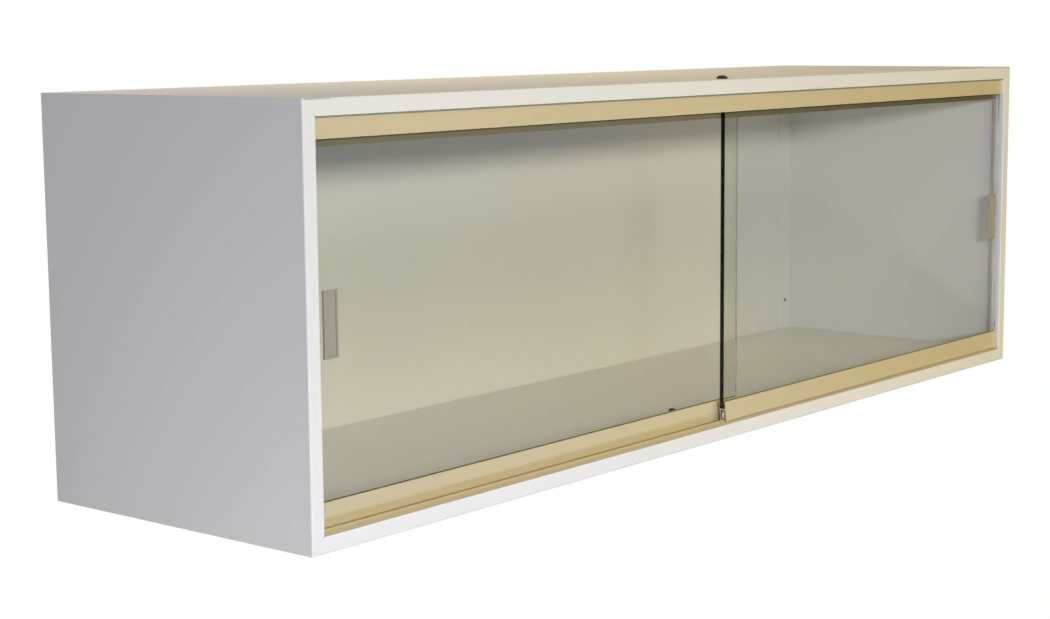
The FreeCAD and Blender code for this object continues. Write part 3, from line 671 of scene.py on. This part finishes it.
class SHOWCASE_OT_rivets(bpy.types.Operator):
    """Set the blind rivets in the corner posts"""

    bl_idname = "showcase.rivets"
    bl_label = "Post rivets"

    def execute(self, context):
        low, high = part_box("post_rivets")
        head = 3.6 * MM
        steel = plated()
        shape = bmesh.new()
        profile = rounded(
            [
                (0.0, 1.1 * MM),
                (1.4 * MM, 1.1 * MM),
                (1.4 * MM, -0.9 * MM),
                (2.4 * MM, -0.9 * MM),
                (head, 0.0),
                (head, 0.3 * MM),
                (2.1 * MM, 0.4 * MM),
                (2.1 * MM, high.y - low.y - 1.0 * MM),
                (0.0, high.y - low.y - 1.0 * MM),
            ],
            0.2 * MM,
        )
        for x in (low.x + head, high.x - head):
            for z in (low.z + head, high.z - head):
                place = Vector((x, low.y + 1.0 * MM, z))
                turn_profile(shape, profile, place, (0, 1, 0), 32)
        finish_piece(shape, "blind_rivets", "case", steel, ["post_rivets"])
        return {"FINISHED"}


class SHOWCASE_OT_screws(bpy.types.Operator):
    """Drive the screws of both tracks"""

    bl_idname = "showcase.screws"
    bl_label = "Track screws"

    def execute(self, context):
        count = 5
        for node, up in (("upper_track_screws", -1), ("lower_track_screws", 1)):
            low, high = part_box(node)
            head = 2.8 * MM
            y = (low.y + high.y) / 2
            face = high.z if up > 0 else low.z
            length = high.z - low.z
            profile = rounded(
                [
                    (0.0, -0.9 * MM),
                    (0.7 * MM, -0.6 * MM),
                    (1.3 * MM, -0.05 * MM),
                    (2.3 * MM, -0.2 * MM),
                    (head, -0.8 * MM),
                    (head, -1.2 * MM),
                    (1.45 * MM, -1.2 * MM),
                    (1.45 * MM, 0.4 * MM - length),
                    (1.0 * MM, -length),
                    (0.0, -length),
                ],
                0.15 * MM,
            )
            shape = bmesh.new()
            span = high.x - low.x - head * 2
            for index in range(count):
                x = low.x + head + span * index / (count - 1)
                turn_profile(shape, profile, Vector((x, y, face)), (0, 0, up), 32)
            finish_piece(shape, f"{node}_turned", "case", plated(), [node])
        return {"FINISHED"}


class SHOWCASE_OT_rollers(bpy.types.Operator):
    """Turn the door wheels and their axles"""

    bl_idname = "showcase.rollers"
    bl_label = "Rollers"

    def execute(self, context):
        hardware = context.scene.showcase_hardware
        nylon = moulded("white_nylon", hardware.nylon, 0.42, 0.0)
        for door in DOORS:
            for end in DOOR_ENDS:
                stem = f"{door}_{end}"
                dress(f"{stem}_roller_bracket", plated())
                self.wheel(stem, nylon, hardware.turn_steps)
                self.axle(stem, f"{door}_door")
        return {"FINISHED"}

    def wheel(self, stem, nylon, steps):
        node = f"{stem}_wheel"
        low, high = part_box(node)
        middle = (low + high) / 2
        half = (high.y - low.y) / 2
        radius = (high.z - low.z) / 2
        profile = rounded(
            [
                (1.56 * MM, -half),
                (2.6 * MM, -half),
                (2.9 * MM, -half + 0.35 * MM),
                (4.4 * MM, -half + 0.35 * MM),
                (4.7 * MM, -half),
                (radius, -half),
                (radius, -1.3 * MM),
                (5.3 * MM, -1.3 * MM),
                (5.3 * MM, 1.3 * MM),
                (radius, 1.3 * MM),
                (radius, half),
                (4.7 * MM, half),
                (4.4 * MM, half - 0.35 * MM),
                (2.9 * MM, half - 0.35 * MM),
                (2.6 * MM, half),
                (1.56 * MM, half),
                (1.56 * MM, -half),
            ],
            0.18 * MM,
            3,
        )
        shape = bmesh.new()
        turn_profile(shape, profile, middle, (0, 1, 0), steps)
        finish_piece(shape, f"{stem}_roller_wheel", f"{stem}_roller", nylon, [node])

    def axle(self, stem, body):
        node = f"{stem}_axle"
        low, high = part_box(node)
        middle = (low + high) / 2
        half = (high.y - low.y) / 2
        radius = (high.z - low.z) / 2
        shape = bmesh.new()
        profile = [
            (0.0, -half),
            (radius - 0.3 * MM, -half),
            (radius, -half + 0.3 * MM),
            (radius, half - 0.3 * MM),
            (radius - 0.3 * MM, half),
            (0.0, half),
        ]
        turn_profile(shape, profile, middle, (0, 1, 0), 32)
        finish_piece(shape, f"{stem}_axle_pin", body, plated(), [node])


class SHOWCASE_OT_bumpers(bpy.types.Operator):
    """Mould the door bumpers on the jambs"""

    bl_idname = "showcase.bumpers"
    bl_label = "Door bumpers"

    def execute(self, context):
        rubber = moulded("black_rubber", context.scene.showcase_hardware.rubber, 0.6)
        low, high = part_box("door_bumpers")
        thickness, width, rounding = 1.2 * MM, 6.0 * MM, 0.4 * MM
        size = Vector((thickness, width, high.z - low.z))
        shape = bmesh.new()
        right, rear = high.x - size.x, high.y - size.y
        for x, y in ((low.x, low.y), (low.x, rear), (right, low.y)):
            corner = Vector((x, y, low.z))
            verts = block(shape, corner, corner + size)
            edges = {edge for vert in verts for edge in vert.link_edges}
            soften(shape, list(edges), rounding, 3)
        finish_piece(shape, "jamb_bumpers", "case", rubber, ["door_bumpers"])
        return {"FINISHED"}


class SHOWCASE_OT_studio(bpy.types.Operator):
    """Lay the floor, hang the lights and set the camera"""

    bl_idname = "showcase.studio"
    bl_label = "Studio"

    def execute(self, context):
        studio = context.scene.showcase_studio
        context.scene.view_settings.view_transform = "Standard"
        self.floor(CAD_BOX[0][2] - studio.floor_drop)
        self.world(context.scene)
        self.card("mirrored_card", *CARD_ENDS, CAD_BOX[0][2] - studio.floor_drop, 1.6, CARD_STOPS)
        for lamp in LAMPS:
            self.lamp(context.scene, *lamp)
        self.camera(context.scene, studio)
        return {"FINISHED"}

    def floor(self, level):
        shape = bmesh.new()
        bmesh.ops.create_grid(shape, x_segments=1, y_segments=1, size=40.0)
        bmesh.ops.translate(shape, vec=(0, 0, level), verts=shape.verts)
        mesh = bpy.data.meshes.new("studio_floor")
        shape.to_mesh(mesh)
        shape.free()
        material = bpy.data.materials.new("pale_floor")
        material.use_nodes = True
        tree = material.node_tree
        tree.nodes.clear()
        seen = add_node(tree, "ShaderNodeEmission", strength=1.0)
        unseen = add_node(tree, "ShaderNodeEmission", strength=FLOOR_GLOW[1])
        unseen.inputs["Color"].default_value = (*FLOOR_GLOW[0], 1.0)
        blend_camera(tree, seen, unseen, "ShaderNodeOutputMaterial")
        mesh.materials.append(material)
        floor = bpy.data.objects.new("studio_floor", mesh)
        bpy.context.scene.collection.objects.link(floor)

    def card(self, name, start, end, foot, height, stops):
        """An upright white card that the glass and the paint mirror, unseen by the camera."""
        shape = bmesh.new()
        verts = [shape.verts.new((*place, foot)) for place in (start, end)]
        edge = shape.edges.new(verts)
        risen = bmesh.ops.extrude_edge_only(shape, edges=[edge])
        tops = [item for item in risen["geom"] if isinstance(item, bmesh.types.BMVert)]
        bmesh.ops.translate(shape, vec=(0, 0, height), verts=tops)
        mesh = bpy.data.meshes.new(name)
        shape.to_mesh(mesh)
        shape.free()
        material = bpy.data.materials.new(name)
        material.use_nodes = True
        tree = material.node_tree
        tree.nodes.clear()
        glow = add_node(tree, "ShaderNodeEmission", strength=1.0)
        place = tree.nodes.new("ShaderNodeTexCoord")
        split = tree.nodes.new("ShaderNodeSeparateXYZ")
        tree.links.new(place.outputs["Object"], split.inputs["Vector"])
        spread = tree.nodes.new("ShaderNodeMapRange")
        tree.links.new(split.outputs["X"], spread.inputs["Value"])
        spread.inputs["From Min"].default_value = start[0]
        spread.inputs["From Max"].default_value = end[0]
        ramp = tree.nodes.new("ShaderNodeValToRGB")
        tree.links.new(spread.outputs["Result"], ramp.inputs["Fac"])
        tree.links.new(ramp.outputs["Color"], glow.inputs["Color"])
        for index, (x, colour) in enumerate(stops):
            share = (x - start[0]) / (end[0] - start[0])
            stop = ramp.color_ramp.elements[index] if index < 2 else ramp.color_ramp.elements.new(share)
            stop.position = share
            stop.color = (*colour, 1.0)
        output = tree.nodes.new("ShaderNodeOutputMaterial")
        tree.links.new(glow.outputs[0], output.inputs["Surface"])
        mesh.materials.append(material)
        card = bpy.data.objects.new(name, mesh)
        card.visible_camera = False
        bpy.context.scene.collection.objects.link(card)

    def world(self, scene):
        world = bpy.data.worlds.new("studio_air")
        world.use_nodes = True
        tree = world.node_tree
        tree.nodes.clear()
        seen = add_node(tree, "ShaderNodeBackground", strength=1.0)
        seen.inputs["Color"].default_value = (1.0, 1.0, 1.0, 1.0)
        unseen = add_node(tree, "ShaderNodeBackground", strength=AIR_GLOW[1])
        unseen.inputs["Color"].default_value = (*AIR_GLOW[0], 1.0)
        blend_camera(tree, seen, unseen, "ShaderNodeOutputWorld")
        scene.world = world

    def lamp(self, scene, name, place, aim, width, height, colour, strength):
        light = bpy.data.lights.new(name, "AREA")
        light.shape = "RECTANGLE"
        light.size = width
        light.size_y = height
        light.color = colour
        light.energy = strength
        item = bpy.data.objects.new(name, light)
        item.location = place
        away = Vector(place) - Vector(aim)
        item.rotation_euler = away.to_track_quat("Z", "Y").to_euler()
        item.visible_camera = False
        item.visible_glossy = False
        item.visible_transmission = False
        scene.collection.objects.link(item)

    def camera(self, scene, studio):
        data = bpy.data.cameras.new("studio_camera")
        data.lens = studio.lens
        data.sensor_width = 36.0
        data.clip_end = 200.0
        item = bpy.data.objects.new("studio_camera", data)
        item.matrix_world = camera_matrix(studio)
        scene.collection.objects.link(item)
        scene.camera = item


def blend_camera(tree, seen, unseen, output_kind):
    """Show one shader to the camera and use the other to light the room."""
    path = tree.nodes.new("ShaderNodeLightPath")
    mix = tree.nodes.new("ShaderNodeMixShader")
    output = tree.nodes.new(output_kind)
    tree.links.new(path.outputs["Is Camera Ray"], mix.inputs["Fac"])
    tree.links.new(unseen.outputs[0], mix.inputs[1])
    tree.links.new(seen.outputs[0], mix.inputs[2])
    tree.links.new(mix.outputs["Shader"], output.inputs["Surface"])


def camera_matrix(studio):
    """The camera's place and turn, from its yaw, pitch and roll."""
    yaw, pitch, roll = studio.camera_yaw, studio.camera_pitch, studio.camera_roll
    turn = (
        Matrix.Rotation(-yaw, 4, "Z")
        @ Matrix.Rotation(math.pi / 2 - pitch, 4, "X")
        @ Matrix.Rotation(-roll, 4, "Z")
    )
    return Matrix.Translation(studio.camera_place) @ turn


CARD_ENDS = ((1.54, -4.63), (4.48, -0.79))
# The card's glow along X: place and colour
CARD_STOPS = (
    (2.3, (0.0, 0.0, 0.0)),
    (2.6, (0.031, 0.031, 0.031)),
    (2.9, (0.046, 0.045, 0.044)),
    (3.2, (0.028, 0.029, 0.029)),
    (3.5, (0.003, 0.003, 0.004)),
    (3.9, (0.0, 0.0, 0.0)),
)
FLOOR_GLOW = ((1.0, 1.0, 1.0), 0.12)
AIR_GLOW = ((1.0, 1.0, 1.0), 0.1)
# Name, place, point aimed at, width, height, colour and power
LAMPS = (
    ("key_right", (2.52, -4.79, 0.76), (0, -0.3, -0.2), 0.5, 0.4, (1.0, 0.805, 0.389), 65.79),
    ("key_left", (-3.88, -4.79, 0.76), (0, -0.3, -0.2), 0.5, 0.4, (1.0, 0.996, 0.966), 151.81),
    ("front_a", (-1.9, -2.9, 0.46), (-0.6, -0.3, -0.2), 0.8, 0.35, (0.0, 0.165, 1.0), 10.92),
    ("front_b", (-0.9, -2.9, 0.46), (-0.4, -0.3, -0.2), 0.8, 0.35, (0.984, 1.0, 0.743), 21.68),
    ("left_grazing", (-3.65, -1.18, 0.15), (-0.7, -0.3, -0.2), 0.5, 0.3, (1.0, 0.338, 0.0), 3.08),
    ("side_low", (-1.6, -0.7, -0.95), (-0.76, -0.3, -0.35), 0.4, 0.4, (1.0, 0.994, 0.998), 6.82),
    ("high_left", (-1.2, -2.2, 1.6), (-0.5, -0.3, -0.1), 1.2, 1.0, (0.0, 0.246, 1.0), 14.52),
    ("high_middle", (0.4, -2.2, 1.6), (0.1, -0.3, -0.1), 1.2, 1.0, (1.0, 0.667, 0.0), 24.1),
    ("low_near_left", (-0.4, -1.05, -0.8), (-0.4, -0.4, -0.35), 0.9, 0.15, (0.547, 0.662, 1.0), 3.81),
    ("low_near_right", (0.6, -1.05, -0.8), (0.6, -0.4, -0.35), 0.9, 0.15, (1.0, 0.776, 0.232), 2.0),
    ("back_high", (0.3, 0.9, 0.9), (0.2, -0.1, 0), 0.9, 0.5, (1.0, 0.846, 0.486), 22.22),
    ("back_left", (-0.7, 0.9, 0.9), (-0.4, -0.1, 0), 0.9, 0.5, (1.0, 0.943, 0.946), 12.93),
)


class SHOWCASE_PT_panel(bpy.types.Panel):
    """Sidebar panel with one button for each group of pieces"""

    bl_idname = "SHOWCASE_PT_panel"
    bl_label = "Showcase"
    bl_space_type = "VIEW_3D"
    bl_region_type = "UI"
    bl_category = "Showcase"

    def draw(self, context):
        for operator in OPERATORS:
            self.layout.operator(operator.bl_idname)
        for name in SETTINGS:
            group = getattr(context.scene, name)
            box = self.layout.box()
            box.label(text=name)
            for key in group.__annotations__:
                box.prop(group, key)


OPERATORS = (
    SHOWCASE_OT_case,
    SHOWCASE_OT_tracks,
    SHOWCASE_OT_doors,
    SHOWCASE_OT_pulls,
    SHOWCASE_OT_plugs,
    SHOWCASE_OT_rivets,
    SHOWCASE_OT_screws,
    SHOWCASE_OT_rollers,
    SHOWCASE_OT_bumpers,
    SHOWCASE_OT_studio,
)
CLASSES = (*SETTINGS.values(), *OPERATORS, SHOWCASE_PT_panel)


def register():
    for item in CLASSES:
        bpy.utils.register_class(item)
    for name, group in SETTINGS.items():
        setattr(bpy.types.Scene, name, PointerProperty(type=group))


def unregister():
    for name in SETTINGS:
        delattr(bpy.types.Scene, name)
    for item in reversed(CLASSES):
        bpy.utils.unregister_class(item)


def main():
    register()
    for operator in OPERATORS:
        group, name = operator.bl_idname.split(".")
        getattr(getattr(bpy.ops, group), name)()


if __name__ == "__main__":
    main()
